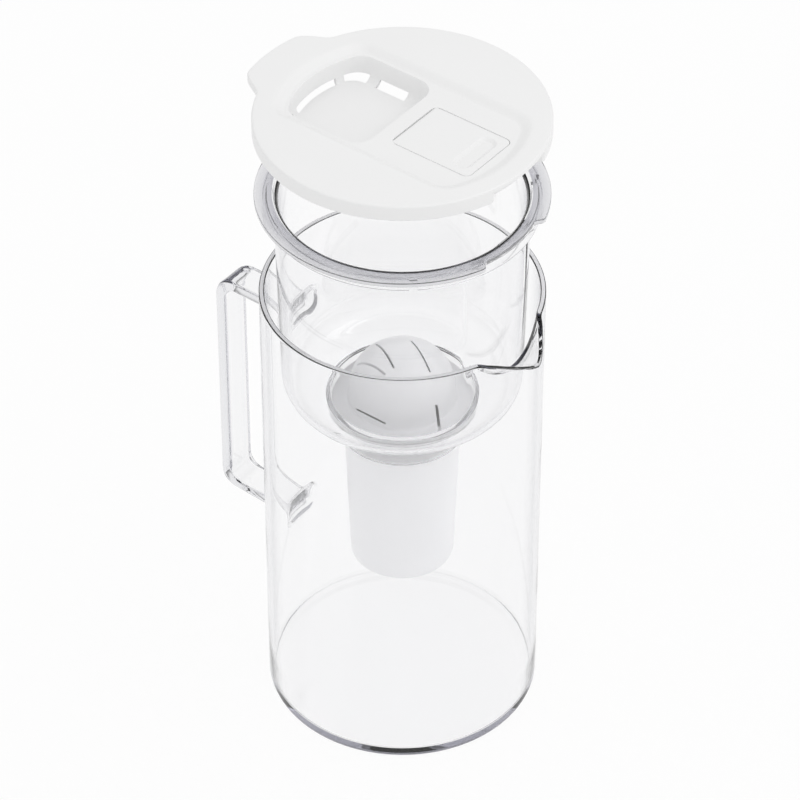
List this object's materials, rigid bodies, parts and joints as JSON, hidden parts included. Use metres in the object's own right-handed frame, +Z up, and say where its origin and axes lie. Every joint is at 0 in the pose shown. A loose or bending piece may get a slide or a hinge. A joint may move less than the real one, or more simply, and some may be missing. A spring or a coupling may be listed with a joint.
{
  "type": "water filter pitcher",
  "caption": "Tall clear jug with a drooping spout and strap handle, holding a clear funnel, a domed filter cartridge and a round white lid with a slotted basin and a flip flap.",
  "frame": {"origin": "centre of the jug's flat underside, on the surface it stands on", "axes": "+Z up along the jug's axis, +X from the axis towards the spout, so the handle is on the -X side and +Y is to the left of a person who looks along +X"},
  "size_m": [0.1805, 0.131, 0.3317],
  "materials": {
    "clear_jug": "clear, gloss",
    "clear_funnel": "clear, gloss",
    "filter_plastic": "satin",
    "seal": "matte",
    "screen": "matte",
    "carbon": "matte",
    "resin": "matte",
    "lid_plastic": "satin",
    "pin": "brushed"
  },
  "bodies": {
    "jug": {"jug_body": "clear_jug", "handle": "clear_jug"},
    "funnel": {"funnel_shell": "clear_funnel"},
    "filter": {"filter_housing": "filter_plastic", "filter_seal": "seal", "filter_dome": "filter_plastic", "upper_screen": "screen", "carbon_bed": "carbon", "middle_screen": "screen", "resin_bed": "resin", "lower_screen": "screen", "outlet_grid": "filter_plastic"},
    "lid": {"lid_shell": "lid_plastic", "flap_hinge_pin": "pin"},
    "flap": {"flap_panel": "lid_plastic"}
  },
  "joints": [
    {"name": "funnel_lift", "type": "slide", "parent": "jug", "child": "funnel", "axis": [0, 0, 1], "range_m": [-0.0529, 0]},
    {"name": "filter_lift", "type": "slide", "parent": "funnel", "child": "filter", "axis": [0, 0, 1], "range_m": [0, 0.07]},
    {"name": "lid_lift", "type": "slide", "parent": "funnel", "child": "lid", "axis": [0, 0, 1], "range_m": [-0.0339, 0]},
    {"name": "flap_hinge", "type": "hinge", "parent": "lid", "child": "flap", "pos_m": [0.0076, 0, 0.3274], "axis": [0, -1, 0], "range_deg": [0, 95]}
  ]
}
